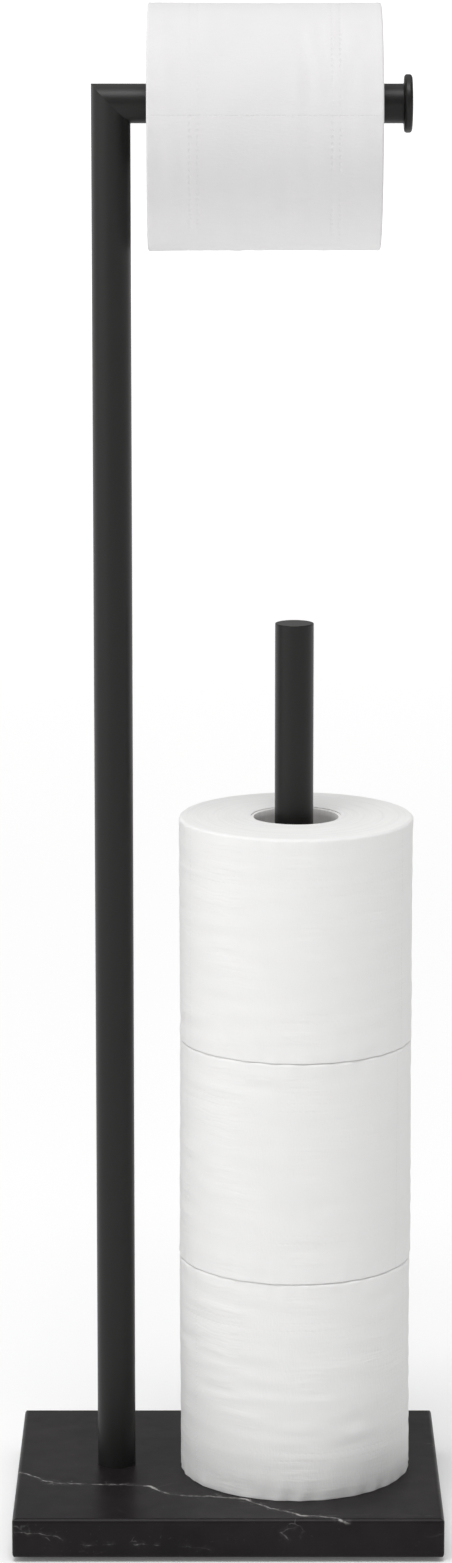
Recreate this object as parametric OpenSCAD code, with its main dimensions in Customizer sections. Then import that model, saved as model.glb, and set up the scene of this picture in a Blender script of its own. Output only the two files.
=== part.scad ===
// Free-standing toilet paper holder. A stone slab carries a tall post whose mitred arm
// holds the roll in use, and a shorter rod that stores three spare rolls.
// Millimetres. The origin is on the floor, under the centre of the slab.
// +X runs along the arm to its free end, +Z is up, and the front faces -Y.

/* [Base slab] */
// Width of the slab, along the arm
slab_w = 190; // [180:1:240]
// Depth of the slab, front to back
slab_d = 150; // [130:1:200]
// Thickness of the slab
slab_t = 18; // [16:1:30]
// Radius of the slab's softened edges
slab_edge_r = 2; // [0.5:0.5:3]

/* [Rubber pads] */
// Diameter of each pad under the slab
pad_d = 13; // [8:1:20]
// Thickness of each pad
pad_t = 2; // [1:0.5:4]
// Distance from the slab's edges to the pads' centres
pad_inset = 14; // [12:1:30]

/* [Frame tubes] */
// Outer diameter of the post, the arm and the rod
tube_d = 17; // [15:0.5:20]
// Wall thickness of the tubes
tube_wall = 1.2; // [0.8:0.1:1.5]
// Height of the arm's axis above the slab
arm_height = 612; // [560:1:700]
// Height of the rod's top above the slab
rod_height = 386; // [320:1:400]
// Distance from the slab's centre to the post, towards -X
post_offset = 50.5; // [45:0.5:52]
// Distance from the slab's centre to the rod, towards +X
rod_offset = 29; // [27:0.5:34]
// Length of the arm tube, from the post's axis to its open end
arm_length = 124.5; // [122:0.5:160]

/* [Arm end cap] */
// Diameter of the flange that stops the roll sliding off
flange_d = 25; // [22:0.5:32]
// Thickness of the flange at its rim
flange_t = 3.4; // [2.6:0.1:5]
// Height of the dome on the flange's outer face
flange_dome = 0.5; // [0.2:0.1:1.5]
// Length of the collar between the tube and the flange
collar_l = 1.4; // [1:0.1:4]

/* [Rod cap] */
// Thickness of the flat disc that closes the rod
rod_cap_t = 1.5; // [1:0.1:3]

/* [Foot fastenings] */
// Diameter of the foot screws
screw_d = 6; // [5:0.5:6]
// Length of the foot screws under the head
screw_l = 25; // [22:1:30]
// Depth of the counterbores in the slab's underside
counterbore_depth = 10; // [8:0.5:11]
// Diameter of the counterbores
counterbore_d = 20; // [19:0.5:24]

/* [Rolls] */
// Width of every roll
roll_w = 100; // [96:1:102]
// Diameter of the roll in use
arm_roll_d = 106; // [70:1:108]
// Diameter of each spare roll
spare_roll_d = 103.4; // [90:0.2:108]
// Inner diameter of the cardboard cores
core_d = 37.4; // [36:0.2:44]
// Wall thickness of the cardboard cores
core_wall = 1.2; // [0.6:0.1:2]

/* [Hidden] */
$fn = 128;

tube_r = tube_d / 2;
bore_r = tube_r - tube_wall;
slab_top = pad_t + slab_t;
arm_z = slab_top + arm_height;
post_at = [-post_offset, 0, slab_top];
rod_at = [rod_offset, 0, slab_top];
arm_end_x = arm_length - post_offset;

cap_spigot_l = 12;
cap_fillet_r = 0.6;
flange_rim_r = 1.2;
// A small flat is turned this deep into the middle of the dome.
dome_flat = 0.03;
rod_cap_spigot_l = 6;
rod_cap_edge_r = 0.4;

insert_l = 16;
// Height of the counterbores' inner face, where the washers bear.
seat_z = pad_t + counterbore_depth;
screw_clearance = 0.5;
screw_head_d = 10;
screw_head_l = 4;
hex_key_af = 4;
hex_key_depth = 2.4;
washer_d = 18;
washer_t = 1.6;
lock_washer_d = 11.8;
lock_washer_t = 1.6;
lock_washer_gap = 1.2;
washer_play = 0.15;
pad_edge_r = 0.5;

core_recess = 0.5;
paper_rim_r = 1.5;
hang_clearance = 0.3;
arm_roll_x = 15.4;
// The hanging roll's core rests on top of the arm, so its centre lies below the arm's axis.
arm_roll_at = [arm_roll_x, 0, arm_z - (core_d / 2 - tube_r - hang_clearance)];
// Spare rolls hang loosely round the rod, a little off its axis.
spare_roll_play = 0.9;

frame_black = [0.17, 0.16, 0.16];
marble_black = [0.12, 0.11, 0.12];
rubber_black = [0.05, 0.05, 0.05];
zinc = [0.72, 0.73, 0.75];
tissue_white = [0.95, 0.95, 0.94];
card_grey = [0.72, 0.7, 0.66];

// Size of the block that cuts a mitre, and of any hole that goes right through.
big = 400;
// How far shapes that are joined reach into each other.
overlap = 0.5;
// The dome's outline is a short run of a very large circle, so it needs finer steps.
dome_steps = 720;

// A square with rounded corners, from the circles at its corners and the two bars between them.
module rounded_rectangle(w, h, r) {
    square([w - 2 * r, h], center = true);
    square([w, h - 2 * r], center = true);
    for (sx = [-1, 1], sy = [-1, 1])
        translate([sx * (w / 2 - r), sy * (h / 2 - r)])
            circle(r = r);
}

module rounded_bar(w, h, r, length) {
    linear_extrude(height = length, center = true)
        rounded_rectangle(w, h, r);
}

module tube(length) {
    difference() {
        cylinder(r = tube_r, h = length);
        translate([0, 0, -1])
            cylinder(r = bore_r, h = length + 2);
    }
}

module ring(outer_d, inner_d, thickness) {
    difference() {
        cylinder(d = outer_d, h = thickness);
        translate([0, 0, -1])
            cylinder(d = inner_d, h = thickness + 2);
    }
}

// Everything on the far side of the 45 degree mitre plane: 1 is the arm's side, -1 the post's.
module mitre_side(side) {
    translate([-post_offset, 0, arm_z])
        rotate([0, 45, 0])
            translate([0, 0, side * big / 2])
                cube(big, center = true);
}

// Upright from the slab to the mitred corner.
module post_tube() {
    color(frame_black)
        difference() {
            translate(post_at)
                tube(arm_height + tube_d);
            mitre_side(1);
        }
}

// Horizontal tube that the roll in use hangs on.
module arm_tube() {
    color(frame_black)
        difference() {
            translate([-post_offset - tube_d, 0, arm_z])
                rotate([0, 90, 0])
                    tube(arm_length + tube_d);
            mitre_side(-1);
        }
}

// Half section of the end cap: x is the radius, y runs outwards from the tube's open end.
module end_cap_section() {
    dome_r = (pow(flange_d / 2, 2) + pow(flange_dome, 2)) / (2 * flange_dome);
    flange_y = collar_l + flange_t / 2;
    translate([0, -cap_spigot_l])
        square([bore_r, cap_spigot_l + overlap]);
    square([tube_r, collar_l + overlap]);
    difference() {
        translate([0, collar_l - cap_fillet_r])
            square([tube_r + cap_fillet_r, 2 * cap_fillet_r]);
        translate([tube_r + cap_fillet_r, collar_l - cap_fillet_r])
            circle(r = cap_fillet_r);
    }
    intersection() {
        union() {
            translate([0, collar_l])
                square([flange_d / 2 - flange_rim_r, flange_t + flange_dome]);
            translate([0, collar_l + flange_rim_r])
                square([flange_d / 2, flange_t - 2 * flange_rim_r]);
            for (side = [-1, 1])
                translate([flange_d / 2 - flange_rim_r, flange_y + side * (flange_t / 2 - flange_rim_r)])
                    circle(r = flange_rim_r);
        }
        translate([0, collar_l + flange_t + flange_dome - dome_r])
            circle(r = dome_r, $fn = dome_steps);
        square([flange_d, collar_l + flange_t + flange_dome - dome_flat]);
    }
}

// Plug, collar and flange in one turned piece.
module arm_end_cap() {
    color(frame_black)
        translate([arm_end_x, 0, arm_z])
            rotate([0, 90, 0])
                rotate_extrude()
                    end_cap_section();
}

// Upright that the spare rolls are stacked on.
module rod_tube() {
    color(frame_black)
        translate(rod_at)
            tube(rod_height - rod_cap_t);
}

// Flat disc, flush with the rod, on a spigot pressed into it.
module rod_cap() {
    color(frame_black)
        translate([rod_offset, 0, slab_top + rod_height - rod_cap_t])
            rotate_extrude() {
                translate([0, -rod_cap_spigot_l])
                    square([bore_r, rod_cap_spigot_l + overlap]);
                square([tube_r, rod_cap_t - rod_cap_edge_r]);
                square([tube_r - rod_cap_edge_r, rod_cap_t]);
                translate([tube_r - rod_cap_edge_r, rod_cap_t - rod_cap_edge_r])
                    circle(r = rod_cap_edge_r);
            }
}

module screw_hole(at) {
    translate([at[0], at[1], 0]) {
        cylinder(d = screw_d + 2 * screw_clearance, h = big);
        cylinder(d = counterbore_d, h = seat_z);
    }
}

// Slab with softened edges and a counterbored hole under each upright.
module base_slab() {
    color(marble_black)
        difference() {
            translate([0, 0, pad_t + slab_t / 2])
                intersection() {
                    rounded_bar(slab_w, slab_d, slab_edge_r, slab_t);
                    rotate([90, 0, 0])
                        rounded_bar(slab_w, slab_t, slab_edge_r, slab_d);
                    rotate([90, 0, 90])
                        rounded_bar(slab_d, slab_t, slab_edge_r, slab_w);
                }
            screw_hole(post_at);
            screw_hole(rod_at);
        }
}

// One pad, glued under a corner; side_x and side_y choose the corner.
module foot_pad(side_x, side_y) {
    color(rubber_black)
        translate([side_x * (slab_w / 2 - pad_inset), side_y * (slab_d / 2 - pad_inset), 0])
            rotate_extrude() {
                translate([0, pad_edge_r])
                    square([pad_d / 2, pad_t - pad_edge_r]);
                square([pad_d / 2 - pad_edge_r, pad_t]);
                translate([pad_d / 2 - pad_edge_r, pad_edge_r])
                    circle(r = pad_edge_r);
            }
}

// Threaded plug welded into the foot of an upright.
module foot_insert(at) {
    color(zinc)
        translate(at)
            ring(2 * bore_r, screw_d, insert_l);
}

module washer(at) {
    color(zinc)
        translate([at[0], at[1], seat_z - washer_t])
            ring(washer_d, screw_d + 2 * washer_play, washer_t);
}

// Split spring washer between the flat washer and the screw head.
module lock_washer(at) {
    color(zinc)
        translate([at[0], at[1], seat_z - washer_t - lock_washer_t])
            difference() {
                ring(lock_washer_d, screw_d + 2 * washer_play, lock_washer_t);
                translate([0, -lock_washer_gap / 2, -1])
                    cube([lock_washer_d, lock_washer_gap, lock_washer_t + 2]);
            }
}

// Socket-head screw, driven upwards through the slab into the insert.
module foot_screw(at) {
    color(zinc)
        translate([at[0], at[1], seat_z - washer_t - lock_washer_t]) {
            cylinder(d = screw_d, h = screw_l);
            translate([0, 0, -screw_head_l])
                difference() {
                    cylinder(d = screw_head_d, h = screw_head_l);
                    translate([0, 0, -1])
                        cylinder(d = hex_key_af / cos(30), h = hex_key_depth + 1, $fn = 6);
                }
        }
}

// Cardboard tube on the Z axis, centred, a little shorter than the paper.
module roll_core() {
    color(card_grey)
        translate([0, 0, core_recess - roll_w / 2])
            ring(core_d + 2 * core_wall, core_d, roll_w - 2 * core_recess);
}

// Wound paper on the Z axis, centred, with softly rounded rims.
module roll_paper(outer_d) {
    inner_r = core_d / 2 + core_wall;
    wound = outer_d / 2 - inner_r;
    color(tissue_white)
        rotate_extrude()
            difference() {
                translate([inner_r, 0])
                    rounded_rectangle(2 * wound, roll_w, paper_rim_r);
                translate([-wound, -roll_w])
                    square([wound + inner_r, 2 * roll_w]);
            }
}

module on_arm() {
    translate(arm_roll_at)
        rotate([0, 90, 0])
            children();
}

// Place in the stack of spare rolls; 0 is the bottom one.
module in_stack(place) {
    translate([rod_offset + spare_roll_play, 0, slab_top + (place + 0.5) * roll_w])
        children();
}

base_slab();
foot_pad(-1, -1);  // foot_pad_front_left
foot_pad(1, -1);  // foot_pad_front_right
foot_pad(-1, 1);  // foot_pad_back_left
foot_pad(1, 1);  // foot_pad_back_right
post_tube();
arm_tube();
arm_end_cap();
rod_tube();
rod_cap();
foot_insert(post_at);  // post_foot_insert
foot_screw(post_at);  // post_screw
lock_washer(post_at);  // post_lock_washer
washer(post_at);  // post_washer
foot_insert(rod_at);  // rod_foot_insert
foot_screw(rod_at);  // rod_screw
lock_washer(rod_at);  // rod_lock_washer
washer(rod_at);  // rod_washer
on_arm() roll_core();  // arm_roll_core
on_arm() roll_paper(arm_roll_d);  // arm_roll_paper
in_stack(0) roll_core();  // spare_roll_bottom_core
in_stack(0) roll_paper(spare_roll_d);  // spare_roll_bottom_paper
in_stack(1) roll_core();  // spare_roll_middle_core
in_stack(1) roll_paper(spare_roll_d);  // spare_roll_middle_paper
in_stack(2) roll_core();  // spare_roll_top_core
in_stack(2) roll_paper(spare_roll_d);  // spare_roll_top_paper
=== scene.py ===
"""Looks of the free-standing toilet paper holder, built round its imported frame. Lengths are in metres."""

import math
from typing import NamedTuple

import bmesh
import bpy
import numpy as np
from mathutils import Matrix, Vector


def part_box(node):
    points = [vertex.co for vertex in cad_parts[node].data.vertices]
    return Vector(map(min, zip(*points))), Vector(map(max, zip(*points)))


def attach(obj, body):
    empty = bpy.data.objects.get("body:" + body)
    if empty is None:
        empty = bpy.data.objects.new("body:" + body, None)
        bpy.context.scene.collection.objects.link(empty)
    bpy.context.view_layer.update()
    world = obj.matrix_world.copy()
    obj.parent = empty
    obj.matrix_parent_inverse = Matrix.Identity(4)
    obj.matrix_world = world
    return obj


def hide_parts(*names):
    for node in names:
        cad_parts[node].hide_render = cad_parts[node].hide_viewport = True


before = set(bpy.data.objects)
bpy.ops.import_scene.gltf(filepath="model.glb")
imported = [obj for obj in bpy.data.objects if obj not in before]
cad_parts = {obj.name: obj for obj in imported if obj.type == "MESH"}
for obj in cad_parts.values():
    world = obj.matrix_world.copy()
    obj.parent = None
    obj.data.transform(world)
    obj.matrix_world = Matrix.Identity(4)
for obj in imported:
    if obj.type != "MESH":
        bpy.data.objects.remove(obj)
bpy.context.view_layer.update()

MM = 0.001
TURN = 2 * math.pi
QUARTER = math.pi / 2

SLAB_LOW, SLAB_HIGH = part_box("base_slab")
TUBES = ("post_tube", "arm_tube", "arm_end_cap", "rod_tube", "rod_cap")


# ---------------------------------------------------------------- node helpers
def feed(tree, socket, value):
    """Gives a socket its own number or colour, or another node's output."""
    if isinstance(value, bpy.types.NodeSocket):
        tree.links.new(value, socket)
    else:
        socket.default_value = value


def new_material(name, **sockets):
    """An empty node material with one Principled shader, whose own sockets take the fixed numbers."""
    material = bpy.data.materials.new(name)
    material.use_nodes = True
    tree = material.node_tree
    tree.nodes.clear()
    output = tree.nodes.new("ShaderNodeOutputMaterial")
    shader = tree.nodes.new("ShaderNodeBsdfPrincipled")
    tree.links.new(shader.outputs[0], output.inputs["Surface"])
    for socket, value in sockets.items():
        shader.inputs[socket.replace("_", " ")].default_value = value
    return material, tree, shader


def add(tree, kind, inputs, **settings):
    """One node: settings are its properties, inputs maps its sockets to values or other nodes' outputs."""
    node = tree.nodes.new("ShaderNode" + kind)
    for key, value in settings.items():
        setattr(node, key, value)
    for socket, value in inputs.items():
        feed(tree, node.inputs[socket], value)
    return node


def maths(tree, operation, a, b=0.0, c=0.0, clamp=False):
    return add(tree, "Math", {0: a, 1: b, 2: c}, operation=operation, use_clamp=clamp).outputs[0]


def times(tree, a, b):
    return maths(tree, "MULTIPLY", a, b)


def less(tree, a, b):
    return maths(tree, "SUBTRACT", a, b)


def absolute(tree, a):
    return maths(tree, "ABSOLUTE", a)


def highest(tree, a, b):
    return maths(tree, "MAXIMUM", a, b)


def scaled_plus(tree, a, factor, b):
    """a times factor, plus b."""
    return maths(tree, "MULTIPLY_ADD", a, factor, b)


def from_middle(tree, a):
    """How far a repeating measure is from the middle of its own period, 0 to 0.5."""
    return absolute(tree, less(tree, maths(tree, "FRACT", a), 0.5))


def vector_maths(tree, operation, a, b=(0, 0, 0)):
    node = add(tree, "VectorMath", {0: a, 1: b}, operation=operation)
    return node.outputs["Value" if operation in ("DOT_PRODUCT", "LENGTH") else "Vector"]


def split(tree, vector):
    return add(tree, "SeparateXYZ", {"Vector": vector}).outputs


def join(tree, x, y, z):
    return add(tree, "CombineXYZ", {"X": x, "Y": y, "Z": z}).outputs[0]


def mix(tree, share, a, b, kind="Color"):
    node = add(tree, "Mix", {}, data_type="RGBA" if kind == "Color" else "FLOAT")
    sockets = {socket.identifier: socket for socket in (*node.inputs, *node.outputs)}
    feed(tree, sockets["Factor_Float"], share)
    feed(tree, sockets["A_" + kind], a)
    feed(tree, sockets["B_" + kind], b)
    return sockets["Result_" + kind]


def place(tree):
    """Where a point is on its own piece, in metres."""
    return add(tree, "TexCoord", {}).outputs["Object"]


def noise_node(tree, at, size, detail=2.0, roughness=0.5, stretch=(1, 1, 1)):
    """Noise of about that size in metres, stretched along the piece's axes."""
    scaled = vector_maths(tree, "MULTIPLY", at, [1 / (size * s) for s in stretch])
    inputs = {"Vector": scaled, "Scale": 1.0, "Detail": detail, "Roughness": roughness}
    return add(tree, "TexNoise", inputs)


def noise(tree, at, size, **settings):
    """The same as one number, 0 to 1."""
    return noise_node(tree, at, size, **settings).outputs["Fac"]


def cell_edges(tree, at, size):
    """Distance from the edges between random cells of about that size, in cells."""
    inputs = {"Vector": at, "Scale": 1 / size}
    return add(tree, "TexVoronoi", inputs, feature="DISTANCE_TO_EDGE").outputs["Distance"]


def warp(tree, at, size, amount, detail=2.0):
    """The point moved by noise, by up to about half that amount each way."""
    colour = noise_node(tree, at, size, detail=detail).outputs["Color"]
    centred = vector_maths(tree, "SUBTRACT", colour, (0.5, 0.5, 0.5))
    return vector_maths(tree, "ADD", at, vector_maths(tree, "MULTIPLY", centred, (amount,) * 3))


def ramp(tree, value, low, high, out_low=0.0, out_high=1.0):
    """A smooth step from out_low to out_high as value goes from low to high."""
    inputs = {"Value": value, "From Min": low, "From Max": high, "To Min": out_low, "To Max": out_high}
    return add(tree, "MapRange", inputs, interpolation_type="SMOOTHSTEP", clamp=True).outputs["Result"]


def bump(tree, shader, height, depth):
    node = add(tree, "Bump", {"Height": height, "Distance": depth})
    tree.links.new(node.outputs["Normal"], shader.inputs["Normal"])


def grey(value, warmth=0.0):
    return (value * (1 + warmth), value, value * (1 - warmth), 1)


# ---------------------------------------------------------------- metal and rubber
def coated_steel():
    """Satin black powder coat: fine orange peel, a little unevenness in sheen."""
    material, tree, shader = new_material("satin_black_coat", Specular_IOR_Level=0.25)
    at = place(tree)
    peel = noise(tree, at, 1.1 * MM, detail=1.0)
    grain = noise(tree, at, 0.2 * MM, detail=0.0)
    cloud = noise(tree, at, 28 * MM, detail=3.0)
    bump(tree, shader, scaled_plus(tree, grain, 0.3, peel), 0.02 * MM)
    feed(tree, shader.inputs["Base Color"], mix(tree, cloud, grey(0.010, 0.03), grey(0.014, 0.04)))
    feed(tree, shader.inputs["Roughness"], scaled_plus(tree, cloud, 0.08, 0.35))
    return material


def zinc_plate():
    """Bright zinc on turned steel: fine turning marks round Z and a slight blue-yellow bloom."""
    material, tree, shader = new_material("zinc_plate", Metallic=1.0)
    at = place(tree)
    bloom = noise(tree, at, 5 * MM)
    marks = noise(tree, at, 0.25 * MM, detail=1.0, stretch=(1, 1, 0.3))
    feed(tree, shader.inputs["Base Color"], mix(tree, bloom, (0.52, 0.54, 0.58, 1), (0.62, 0.6, 0.54, 1)))
    feed(tree, shader.inputs["Roughness"], scaled_plus(tree, marks, 0.2, 0.22))
    bump(tree, shader, marks, 0.01 * MM)
    return material


def rubber():
    """Matte black rubber, a little mottled."""
    material, tree, shader = new_material("black_rubber", Specular_IOR_Level=0.3)
    at = place(tree)
    cloud = noise(tree, at, 3 * MM, detail=3.0)
    feed(tree, shader.inputs["Base Color"], mix(tree, cloud, grey(0.012), grey(0.03)))
    feed(tree, shader.inputs["Roughness"], scaled_plus(tree, cloud, 0.15, 0.7))
    bump(tree, shader, noise(tree, at, 0.3 * MM), 0.03 * MM)
    return material


# ---------------------------------------------------------------- marble
def on_slab(x, y, z):
    """A point of the slab from its shares across, towards the back and up."""
    return Vector([low + (high - low) * share for low, high, share in zip(SLAB_LOW, SLAB_HIGH, (x, y, z))])


def on_top(*shares):
    """Points on the slab's top face, from shares across and towards the back."""
    return [on_slab(x, y, 1) for x, y in shares]


def on_front(*shares):
    """Points on the slab's front face, from shares across and up."""
    return [on_slab(x, 0, z) for x, z in shares]


def distance_to_path(tree, at, points, seen_along):
    """Distance from a path of straight runs, measured square to the direction it is seen along."""
    keep = Vector([0 if axis == seen_along else 1 for axis in "xyz"])
    flat = vector_maths(tree, "MULTIPLY", at, keep)
    nearest = None
    for a, b in zip(points, points[1:]):
        start, run = a * keep, (b - a) * keep
        from_start = vector_maths(tree, "SUBTRACT", flat, start)
        along = vector_maths(tree, "DOT_PRODUCT", from_start, run / run.length_squared)
        share = maths(tree, "ADD", along, clamp=True)
        foot = vector_maths(tree, "MULTIPLY", join(tree, share, share, share), run)
        away = vector_maths(tree, "LENGTH", vector_maths(tree, "SUBTRACT", from_start, foot))
        nearest = away if nearest is None else maths(tree, "MINIMUM", nearest, away)
    return nearest


def near_any(tree, at, spots):
    """1 at the given spots, 0 away from them."""
    nearness = 0.0
    for spot in spots:
        away = vector_maths(tree, "LENGTH", vector_maths(tree, "SUBTRACT", at, spot))
        nearness = highest(tree, nearness, ramp(tree, away, 1.5 * MM, 6 * MM, 1.0, 0.0))
    return nearness


def side_branches(tree, at, distance):
    """Short thin cracks that leave a vein and die out beside it."""
    edges = cell_edges(tree, warp(tree, at, 5 * MM, 4 * MM), 7 * MM)
    branch = ramp(tree, edges, 0.0, 0.05, 0.55, 0.0)
    branch = times(tree, branch, ramp(tree, distance, 1.2 * MM, 5.5 * MM, 1.0, 0.0))
    return times(tree, branch, ramp(tree, noise(tree, at, 8 * MM), 0.5, 0.62))


def vein(tree, at, points, seen_along, width, closed, seed, knots=(), reach=(0.0, 3 * MM)):
    """A thin mineral vein along a path on one face, 0 to 1.

    It is lost in the stone where noise is below closed, and it is widest and brightest at its knots.
    Away from its face it fades out between the two depths of reach.
    """
    shifted = vector_maths(tree, "ADD", at, (seed, 2 * seed, -seed))
    bent = warp(tree, warp(tree, at, 26 * MM, 9 * MM, detail=3.0), 4.5 * MM, 2.6 * MM, detail=4.0)
    distance = distance_to_path(tree, bent, points, seen_along)
    near_knot = near_any(tree, at, knots)

    swell = ramp(tree, noise(tree, shifted, 5 * MM, detail=3.0), 0.3, 0.75, 0.3 * width, 1.6 * width)
    swell = scaled_plus(tree, near_knot, 1.3 * width, swell)
    line = ramp(tree, maths(tree, "DIVIDE", distance, swell), 0.35, 1.0, 1.0, 0.0)
    line = highest(tree, line, side_branches(tree, shifted, distance))
    halo = ramp(tree, distance, 0.0, 2.2 * MM, 0.14, 0.0)
    line = highest(tree, line, halo)

    open_here = ramp(tree, noise(tree, shifted, 11 * MM, detail=4.0), closed, closed + 0.2)
    open_here = highest(tree, open_here, near_knot)
    speckle = ramp(tree, noise(tree, shifted, 2.4 * MM, detail=3.0), 0.38, 0.64, 0.2, 1.0)
    speckle = highest(tree, speckle, near_knot)

    axis = "xyz".index(seen_along)
    depth = absolute(tree, less(tree, split(tree, at)[axis], points[0][axis]))
    fade = ramp(tree, depth, *reach, 1.0, 0.0)
    return times(tree, line, times(tree, times(tree, open_here, speckle), fade))


def hairlines(tree, at):
    """A sparse network of very thin cracks, 0 to 1."""
    edges = cell_edges(tree, warp(tree, at, 22 * MM, 16 * MM, detail=4.0), 46 * MM)
    shown_here = ramp(tree, noise(tree, at, 20 * MM), 0.52, 0.7)
    return times(tree, ramp(tree, edges, 0.0, 0.01, 1.0, 0.0), shown_here)


def mineral_lines(tree, at):
    """Every line of mineral in the slab, faintest first, with its strength and its own grey."""
    kinks = [(0, 0.42), (0.1, 0.31), (0.32, 0.285), (0.37, 0.22), (0.54, 0.17), (0.67, 0.035), (0.78, 0)]
    long_vein = vein(
        tree, at, on_top(*kinks), "z",
        width=0.5 * MM, closed=0.3, seed=1.7, knots=on_top(kinks[2], kinks[4], kinks[5]),
    )
    edge_vein = vein(
        tree, at, on_top((0.72, 0.03), (0.86, 0.05), (1, 0.02)), "z",
        width=0.3 * MM, closed=0.42, seed=9.1,
    )
    back_vein = vein(
        tree, at, on_top((0.45, 1), (0.6, 0.86), (0.83, 0.8), (1, 0.66)), "z",
        width=0.35 * MM, closed=0.4, seed=7.9, reach=(4 * MM, 9 * MM),
    )
    low_vein = vein(
        tree, at, on_front((0, 0.72), (0.12, 0.5), (0.26, 0.32), (0.46, 0.3)), "y",
        width=0.26 * MM, closed=0.42, seed=4.3, reach=(3 * MM, 12 * MM),
    )
    fork = vein(
        tree, at, on_front((0.655, 0.72), (0.63, 0.6), (0.645, 0.42)), "y",
        width=0.45 * MM, closed=0.2, seed=2.6, reach=(2 * MM, 6 * MM),
    )
    return [
        (hairlines(tree, at), 0.14, 0.16), (back_vein, 0.6, 0.2), (edge_vein, 0.5, 0.2),
        (low_vein, 0.75, 0.22), (fork, 0.7, 0.22), (long_vein, 0.95, 0.33),
    ]


def marble():
    """Honed black marble with one long pale vein, fainter ones and hairlines."""
    material, tree, shader = new_material("honed_black_marble", Specular_IOR_Level=0.12)
    at = place(tree)
    cloud = noise(tree, at, 30 * MM, detail=5.0, roughness=0.6)
    speck = ramp(tree, noise(tree, at, 1.3 * MM, detail=1.0), 0.72, 0.82)
    dark, less_dark = (0.0088, 0.0072, 0.008, 1), (0.015, 0.0125, 0.0135, 1)
    ground = mix(tree, ramp(tree, cloud, 0.3, 0.75), dark, less_dark)
    ground = mix(tree, times(tree, speck, 0.3), ground, grey(0.06, 0.06))
    for line, strength, pale in mineral_lines(tree, at):
        ground = mix(tree, times(tree, line, strength), ground, grey(pale, 0.03))
    feed(tree, shader.inputs["Base Color"], ground)
    hone = scaled_plus(tree, noise(tree, at, 9 * MM, detail=3.0), 0.14, 0.3)
    feed(tree, shader.inputs["Roughness"], hone)
    bump(tree, shader, noise(tree, at, 0.5 * MM), 0.006 * MM)
    return material


# ---------------------------------------------------------------- tissue and card
SHEET = 0.28 * MM
SHEET_LENGTH = 115 * MM
CRIMP_FROM_EDGE = 20 * MM
CRIMP_PITCH = 2.8 * MM
# Half the distance between the two rows of a crimp line
CRIMP_HALF_GAP = 1.7 * MM
SLIT_PITCH = 2.2 * MM
CARD_WALL = 1.2 * MM
CARD_LAP_PITCH = 62 * MM


class Look(NamedTuple):
    """How one roll is finished: its rims' radii, its colour (on the roll in use darkened as painted shade),
    and how rough its paper is.
    """

    low_rim: float
    high_rim: float
    tint_and_shade: tuple
    wrinkling: float
    crimping: float
    crumple: float


# Its tint is darker than the spare rolls' tint: painted shade, the same tissue made darker to look less
# lit.
ROLL_IN_USE = Look(
    low_rim=1.1 * MM, high_rim=1.1 * MM, tint_and_shade=(0.715, 0.706, 0.71),
    wrinkling=0.3, crimping=1.0, crumple=0.14 * MM,
)
SPARE_ROLL = Look(
    low_rim=0.2 * MM, high_rim=1.5 * MM, tint_and_shade=(0.84, 0.837, 0.83),
    wrinkling=1.15, crimping=0.35, crumple=0.2 * MM,
)


def tear_angles(outer, end_angle):
    """Where the two perforations on a roll's outer turn are, one and two sheets back from its free end."""
    return [math.remainder(end_angle - count * SHEET_LENGTH / outer, TURN) for count in (1, 2)]


def crimp_dots(tree, at, angle, outer, width):
    """Short dashes pressed in round the roll, in a double row near each end, fading in and out."""
    dots_per_radian = round(TURN * outer / CRIMP_PITCH) / TURN
    across = less(tree, maths(tree, "FRACT", times(tree, angle, dots_per_radian)), 0.5)
    from_line = less(tree, absolute(tree, split(tree, at)[2]), width / 2 - CRIMP_FROM_EDGE)
    from_row = less(tree, absolute(tree, from_line), CRIMP_HALF_GAP)
    dash_at = join(tree, times(tree, across, 0.6 * CRIMP_PITCH), from_row, 0.0)
    dashes = ramp(tree, vector_maths(tree, "LENGTH", dash_at), 0.25 * MM, 0.65 * MM, 1.0, 0.0)
    return times(tree, dashes, ramp(tree, noise(tree, at, 22 * MM, detail=1.0), 0.42, 0.6, 0.15, 1.0))


def tear_lines(tree, at, angle, outer, end_angle):
    """The rows of short slits that part one sheet from the next."""
    pitches_along = times(tree, split(tree, at)[2], 1 / SLIT_PITCH)
    slits = ramp(tree, from_middle(tree, pitches_along), 0.3, 0.38, 1.0, 0.0)
    line = 0.0
    for tear_angle in tear_angles(outer, end_angle):
        away = times(tree, absolute(tree, less(tree, angle, tear_angle)), outer)
        line = highest(tree, line, ramp(tree, away, 0.12 * MM, 0.4 * MM, 1.0, 0.0))
    return times(tree, line, slits)


def wound_layers(tree, flat):
    """Noise in thin rings, one sheet thick, and in coarser rings of about five sheets."""
    outward = split(tree, vector_maths(tree, "NORMALIZE", flat))
    sheets_out = times(tree, vector_maths(tree, "LENGTH", flat), 1 / SHEET)
    rings_at = join(tree, sheets_out, times(tree, outward[0], 0.8), times(tree, outward[1], 0.8))
    coarse_at = vector_maths(tree, "MULTIPLY", rings_at, (0.2, 1.5, 1.5))
    thin = add(tree, "TexNoise", {"Vector": rings_at, "Scale": 1.0, "Detail": 2.0})
    coarse = add(tree, "TexNoise", {"Vector": coarse_at, "Scale": 1.0, "Detail": 3.0})
    return thin.outputs["Fac"], coarse.outputs["Fac"]


def creping(tree, at, wrinkling):
    """Height of the sheet's own surface: fine crepe, fluff and patches of wrinkles."""
    crepe = noise(tree, at, 0.7 * MM, stretch=(1, 1, 4))
    fluff = noise(tree, at, 0.25 * MM, detail=1.0)
    wrinkle = noise(tree, warp(tree, at, 14 * MM, 3 * MM), 2.6 * MM, stretch=(9, 9, 1))
    wrinkled_here = ramp(tree, noise(tree, at, 26 * MM, detail=3.0), 0.4, 0.66, 0.12, 1.0)
    wrinkle = times(tree, ramp(tree, wrinkle, 0.35, 0.7), wrinkled_here)
    return scaled_plus(tree, wrinkle, wrinkling, scaled_plus(tree, fluff, 0.35, crepe))


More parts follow.
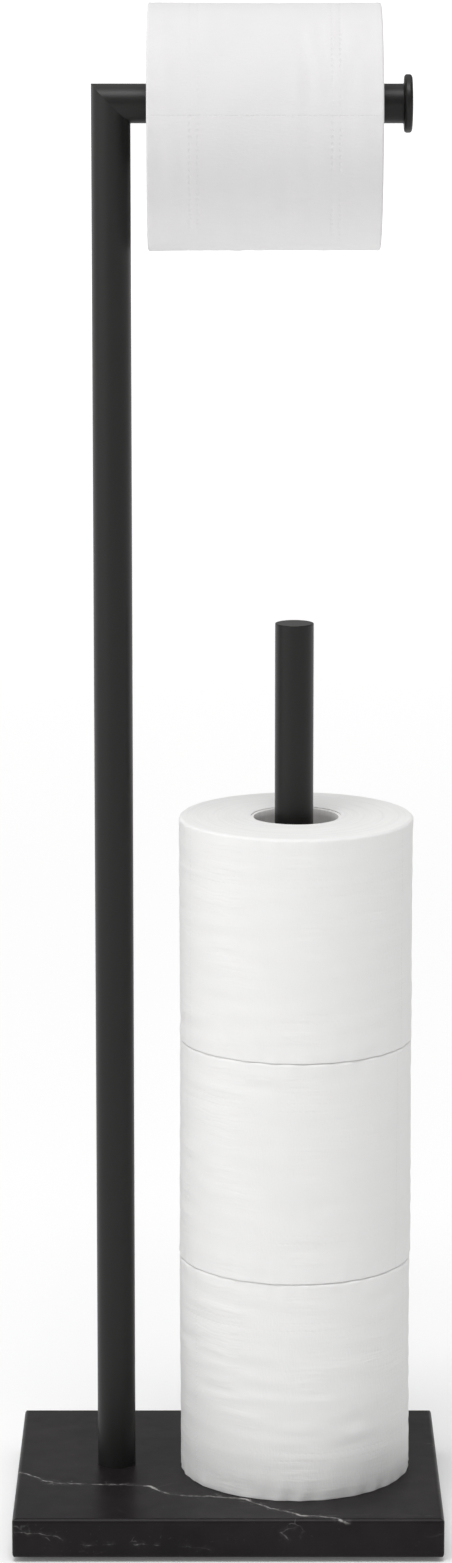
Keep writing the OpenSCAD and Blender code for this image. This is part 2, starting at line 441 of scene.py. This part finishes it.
def tissue(name, outer, width, end_angle, look):
    """Creped tissue: wrinkles round the roll, crimp dots and tear lines on its side, layers on its ends.
    Painted shade darkens the crimp dots, the tear slits and the gaps between layers.
    """
    material, tree, shader = new_material(
        name, Roughness=0.95, Specular_IOR_Level=0.15, Sheen_Weight=0.15, Sheen_Roughness=0.6,
    )
    at = place(tree)
    x, y, _ = split(tree, at)
    angle = maths(tree, "ARCTAN2", y, x)
    facing = split(tree, add(tree, "TexCoord", {}).outputs["Normal"])[2]
    on_end = ramp(tree, absolute(tree, facing), 0.55, 0.8)
    on_side = less(tree, 1.0, on_end)
    crimp = crimp_dots(tree, at, angle, outer, width)
    tear = tear_lines(tree, at, angle, outer, end_angle)
    layers, bundles = wound_layers(tree, join(tree, x, y, 0.0))

    pressed = scaled_plus(tree, crimp, 1.3 * look.crimping, times(tree, tear, 0.9))
    side_height = less(tree, creping(tree, at, look.wrinkling), pressed)
    end_height = scaled_plus(tree, bundles, 1.6, times(tree, layers, 0.45))
    bump(tree, shader, mix(tree, on_end, side_height, end_height, kind="Float"), 0.09 * MM)

    cloud = noise(tree, at, 24 * MM, detail=3.0)
    # On the roll in use this tint carries painted shade as well as the tissue's colour.
    tint_and_shade = Vector(look.tint_and_shade)
    white = mix(tree, cloud, (*tint_and_shade * 0.975, 1), (*tint_and_shade * 1.025, 1))
    # Painted shade: the crimp dents and the tear slits are darkened in the colour.
    painted_line_shade = scaled_plus(tree, crimp, 0.07 * look.crimping, times(tree, tear, 0.14))
    # Painted shade: the ends are darkened in thin and coarse rings, as if in the gaps between wound layers.
    painted_sheet_gap_shade = ramp(tree, layers, 0.3, 0.7, 0.1, 0.0)
    painted_gap_shade = maths(tree, "ADD", painted_sheet_gap_shade, ramp(tree, bundles, 0.3, 0.6, 0.14, 0.0))
    # All this painted shade pulls the colour towards grey.
    shade = maths(tree, "ADD", times(tree, painted_line_shade, on_side), times(tree, on_end, painted_gap_shade))
    feed(tree, shader.inputs["Base Color"], mix(tree, shade, white, grey(0.6)))
    return material


def core_card():
    """Spiral-wound pale grey board with a lap seam."""
    material, tree, shader = new_material("roll_core_board", Roughness=0.85, Specular_IOR_Level=0.25)
    at = place(tree)
    x, y, z = split(tree, at)
    share_round = times(tree, maths(tree, "ARCTAN2", y, x), 1 / TURN)
    turns = scaled_plus(tree, z, 1 / CARD_LAP_PITCH, share_round)
    seam = ramp(tree, from_middle(tree, turns), 0.0, 0.012, 1.0, 0.0)
    fibre = noise(tree, at, 1.2 * MM, detail=4.0, stretch=(1, 1, 5))
    colour = mix(tree, ramp(tree, fibre, 0.3, 0.7), grey(0.83, 0.015), grey(0.89, 0.015))
    colour = mix(tree, times(tree, seam, 0.5), colour, grey(0.5, 0.03))
    feed(tree, shader.inputs["Base Color"], colour)
    bump(tree, shader, less(tree, fibre, seam), 0.06 * MM)
    return material


# ---------------------------------------------------------------- wound paper
def ripples_round(angle, b, rng, round_waves, b_waves, count):
    """A smooth random field, about -1 to 1: sine waves that close round the circle and run along b.

    Each pair of waves is a range: whole waves round the circle, and radians per metre along b.
    """
    field = np.zeros(np.broadcast(angle, b).shape)
    for _ in range(count):
        wave = int(rng.integers(round_waves[0], round_waves[1] + 1)) * int(rng.choice((-1, 1)))
        wave_b = rng.uniform(*b_waves)
        field += np.sin(angle * wave + b * wave_b + rng.uniform(0, TURN))
    return field / math.sqrt(count)


def quarter_round(centre, radius, start, steps):
    """Points of a quarter round in a roll's half section, without its last point."""
    turns = np.linspace(start, start + QUARTER, steps, endpoint=False)
    return [(centre[0] + radius * math.cos(t), centre[1] + radius * math.sin(t)) for t in turns]


def paper_section(inner, outer, width, low_rim, high_rim):
    """Half section as (radius, height): from the bore out along the low end, up the side and back in."""
    end_steps, side_steps, rim_steps = 24, 92, 7
    low, high = -width / 2, width / 2
    points = [(r, low) for r in np.linspace(inner, outer - low_rim, end_steps, endpoint=False)]
    points += quarter_round((outer - low_rim, low + low_rim), low_rim, -QUARTER, rim_steps)
    points += [(outer, z) for z in np.linspace(low + low_rim, high - high_rim, side_steps, endpoint=False)]
    points += quarter_round((outer - high_rim, high - high_rim), high_rim, 0, rim_steps)
    points += [(r, high) for r in np.linspace(outer - high_rim, inner, end_steps)]
    return np.array(points)


def ring_mesh(name, points):
    """A closed mesh through a grid of points: the first axis goes round, the second along the section."""
    sharp_angle = math.radians(50)
    columns, rows = points.shape[:2]
    faces = []
    for i in range(columns):
        here, there = i * rows, (i + 1) % columns * rows
        for j in range(rows):
            k = (j + 1) % rows
            faces.append((here + j, there + j, there + k, here + k))
    mesh = bpy.data.meshes.new(name)
    mesh.from_pydata(points.reshape(-1, 3).tolist(), [], faces)
    mesh.shade_smooth()
    work = bmesh.new()
    work.from_mesh(mesh)
    bmesh.ops.recalc_face_normals(work, faces=work.faces)
    for edge in work.edges:
        if edge.is_manifold and edge.calc_face_angle(0) > sharp_angle:
            edge.smooth = False
    work.to_mesh(mesh)
    work.free()
    return mesh


def swept(radius, angle, height):
    return np.stack((radius * np.cos(angle), radius * np.sin(angle), height), axis=-1)


def side_swell(angle, height, width, crumple, rng):
    """How far a roll's side swells: broad lumps, bands round it, crumpled rims and patches of wrinkles."""
    lump_height, band_height, wrinkle_height, rim_reach = 0.16 * MM, 0.07 * MM, 0.1 * MM, 6 * MM
    lumps = ripples_round(angle, height, rng, (2, 6), (5, 45), 14)
    bands = ripples_round(angle, height, rng, (0, 4), (150, 700), 12)
    creases = ripples_round(angle, height, rng, (14, 40), (60, 260), 22)
    wrinkles = ripples_round(angle, height, rng, (1, 9), (250, 900), 16)
    patches = np.clip(ripples_round(angle, height, rng, (1, 5), (20, 110), 9), 0, 1)
    near_rim = np.exp((np.abs(height) - width / 2) / rim_reach)
    swell = lump_height * lumps + band_height * bands + crumple * creases * near_rim
    return swell + wrinkle_height * wrinkles * patches


def paper_mesh(name, inner, outer, width, end_angle, look, seed):
    """One roll's wound paper about its own Z axis; the sheet's free end is at end_angle."""
    columns = 360
    end_lift, lifted_length, layer_depth, raggedness = 0.5 * MM, 5 * MM, 0.12 * MM, 0.12 * MM
    # The sheet's step never shrinks to nothing, not even at the bore.
    least_out_share = 0.3

    rng = np.random.default_rng(seed)
    section = paper_section(inner, outer, width, look.low_rim, look.high_rim)
    angle = np.linspace(0, TURN, columns)[:, None]
    radius = np.broadcast_to(section[:, 0], (columns, len(section))).copy()
    height = np.broadcast_to(section[:, 1], (columns, len(section))).copy()
    out_share = np.maximum((radius - inner) / (outer - inner), least_out_share)
    on_side = np.clip((radius - outer + look.high_rim) / look.high_rim, 0, 1)
    swell = side_swell(angle, height, width, look.crumple, rng)

    # The sheet winds inwards by its own thickness in a turn, and its free end lifts off a little, unevenly.
    spiral = SHEET * (angle / TURN - 1)
    from_end = (TURN - angle) * outer
    uneven = 1 + 0.4 * ripples_round(0 * angle, height, rng, (0, 0), (60, 200), 5)
    lift = end_lift * np.exp(-from_end / lifted_length) * uneven
    radius += out_share ** 3 * (swell * on_side + spiral) + lift * on_side

    # Some layers are sunk into the ends of the roll, and the free edge is ragged.
    layers = ripples_round(angle, radius, rng, (0, 3), (900, 4200), 26)
    sink = np.clip(0.5 - 0.5 * layers, 0, 1.4) * layer_depth
    height -= np.sign(height) * sink * (1 - on_side)
    ragged = ripples_round(0 * angle, height, rng, (0, 0), (500, 2400), 12) * raggedness / outer
    turned = angle + end_angle + np.where(on_side > 0.5, ragged, 0)
    return ring_mesh(name, swept(radius, turned, height))


def core_mesh(name, inner, outer, length, seed):
    """A cardboard tube, slightly out of round, with soft cut ends."""
    columns, rows, lip = 180, 34, 0.2 * MM
    out_of_round, fray_depth = 0.05 * MM, 0.06 * MM
    rng = np.random.default_rng(seed)
    zs = np.linspace(-length / 2 + lip, length / 2 - lip, rows)
    section = [(inner, z) for z in zs]
    section += [(inner + lip, length / 2), (outer - lip, length / 2)]
    section += [(outer, z) for z in zs[::-1]]
    section += [(outer - lip, -length / 2), (inner + lip, -length / 2)]
    section = np.array(section)
    angle = np.linspace(0, TURN, columns, endpoint=False)[:, None]
    height = np.broadcast_to(section[:, 1], (columns, len(section))).copy()
    wobble = out_of_round * ripples_round(angle, height, rng, (2, 5), (10, 60), 8)
    fray = fray_depth * ripples_round(angle, height, rng, (8, 40), (0, 1), 12)
    radius = section[:, 0] + wobble * (section[:, 0] < outer - lip)
    height -= np.sign(height) * np.abs(fray) * (np.abs(height) > length / 2 - 2 * lip)
    return ring_mesh(name, swept(radius, angle, height))


def stand_in(mesh, material, body, node, matrix):
    """A piece that shows instead of one CAD node and moves with its body."""
    piece = bpy.data.objects.new(mesh.name, mesh)
    bpy.context.scene.collection.objects.link(piece)
    mesh.materials.append(material)
    piece.matrix_world = matrix
    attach(piece, body)
    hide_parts(node)


# Where each spare roll's free end is, anticlockwise from +X, so that none faces the front
SPARE_ENDS = {
    "spare_roll_bottom": math.radians(106),
    "spare_roll_middle": math.radians(97),
    "spare_roll_top": math.radians(101),
}
# One tear line of the roll in use faces the front, this far above the level of its axis
SEEN_TEAR = math.radians(9)


def make_rolls():
    """Every roll's paper and core, each shown instead of its CAD node."""
    card_material = core_card()
    for seed, body in enumerate(("arm_roll", *SPARE_ENDS), start=11):
        paper_node, core_node = body + "_paper", body + "_core"
        low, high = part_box(paper_node)
        core_low, core_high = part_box(core_node)
        size, core_size = high - low, core_high - core_low
        outer, core_outer = size.y / 2, core_size.y / 2
        matrix = Matrix.Translation((low + high) / 2)
        if body == "arm_roll":
            # Laid along the arm, the piece's -Y faces the front and its -X faces up.
            look, width, core_length = ROLL_IN_USE, size.x, core_size.x
            end_angle = -QUARTER - SEEN_TEAR + SHEET_LENGTH / outer
            matrix = matrix @ Matrix.Rotation(QUARTER, 4, "Y")
        else:
            look, width, core_length = SPARE_ROLL, size.z, core_size.z
            end_angle = SPARE_ENDS[body]
        paper = paper_mesh(body + "_tissue", core_outer, outer, width, end_angle, look, seed)
        material = tissue("white_" + body, outer, width, end_angle, look)
        stand_in(paper, material, body, paper_node, matrix)
        core = core_mesh(body + "_board", core_outer - CARD_WALL, core_outer, core_length, seed + 50)
        stand_in(core, card_material, body, core_node, matrix)


# ---------------------------------------------------------------- CAD nodes that keep their shape
def repaint(material, names):
    for name in names:
        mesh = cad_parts[name].data
        mesh.materials.clear()
        mesh.materials.append(material)


def paint_frame():
    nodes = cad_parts
    repaint(coated_steel(), TUBES)
    repaint(marble(), ["base_slab"])
    repaint(rubber(), [name for name in nodes if name.startswith("foot_pad")])
    repaint(zinc_plate(), [name for name in nodes if name.endswith(("_screw", "washer", "insert"))])


# ---------------------------------------------------------------- stage
def make_stage():
    """A wide pale floor that glows more the further away it is, so that it stays pale to the horizon."""
    reach, near, far = 200, 0.2, 7.0
    glow_near, glow_far = 0.08, 0.62
    material, tree, shader = new_material("pale_floor", Roughness=0.8, Specular_IOR_Level=0.1)
    shader.inputs["Base Color"].default_value = grey(0.85)
    shader.inputs["Emission Color"].default_value = grey(1.0)
    away = vector_maths(tree, "LENGTH", place(tree))
    feed(tree, shader.inputs["Emission Strength"], ramp(tree, away, near, far, glow_near, glow_far))
    mesh = bpy.data.meshes.new("floor")
    corners = [(-reach, -reach, 0), (reach, -reach, 0), (reach, reach, 0), (-reach, reach, 0)]
    mesh.from_pydata(corners, [], [(0, 1, 2, 3)])
    mesh.materials.append(material)
    floor = bpy.data.objects.new("floor", mesh)
    bpy.context.scene.collection.objects.link(floor)


def softbox(name, at, target, size, watts):
    light = bpy.data.lights.new(name, "AREA")
    light.shape = "RECTANGLE"
    light.size, light.size_y = size
    light.energy = watts
    lamp = bpy.data.objects.new(name, light)
    lamp.location = at
    lamp.rotation_euler = (Vector(target) - Vector(at)).to_track_quat("-Z", "Y").to_euler()
    bpy.context.scene.collection.objects.link(lamp)


def make_lights():
    """A softbox high in front, a low wide fill on the left, and a pale sky that is brightest overhead.

    The sky is dimmer on the right, and its horizon is dimmer behind the camera.
    """
    softbox("front_top", at=(-0.6, -2.6, 7.8), target=(0, 0, 0.3), size=(4.2, 3.6), watts=335)
    softbox("left", at=(-2.6, -1.7, 0.8), target=(0, 0, 0.25), size=(3.0, 1.4), watts=14)
    world = bpy.data.worlds.new("studio")
    world.use_nodes = True
    tree = world.node_tree
    right, back, up = split(tree, add(tree, "TexCoord", {}).outputs["Generated"])
    horizon = mix(tree, ramp(tree, back, -0.5, 0.8), grey(0.29), grey(0.9))
    sides = mix(tree, ramp(tree, right, -0.8, 0.8), grey(0.46), grey(0.18))
    dome = mix(tree, ramp(tree, up, 0.5, 0.95), sides, grey(1.0))
    sky = mix(tree, ramp(tree, up, 0.02, 0.27), horizon, dome)
    feed(tree, tree.nodes["Background"].inputs["Color"], sky)
    bpy.context.scene.world = world
    bpy.context.scene.view_settings.view_transform = "Standard"


def make_camera():
    """A long lens from in front and above, level in roll, with the whole holder in the frame."""
    height_seen_at_1_m = 0.3126
    above_slab, looking_down = 0.755, math.radians(11.51)
    camera_data = bpy.data.cameras.new("camera")
    camera_data.lens = camera_data.sensor_width / height_seen_at_1_m
    camera_data.clip_start, camera_data.clip_end = 0.05, 400
    camera = bpy.data.objects.new("camera", camera_data)
    camera.location = (-0.001, -2.160, SLAB_HIGH.z + above_slab)
    camera.rotation_euler = (QUARTER - looking_down, 0, 0)
    bpy.context.scene.collection.objects.link(camera)
    bpy.context.scene.camera = camera


make_camera()
make_stage()
make_lights()
paint_frame()
make_rolls()
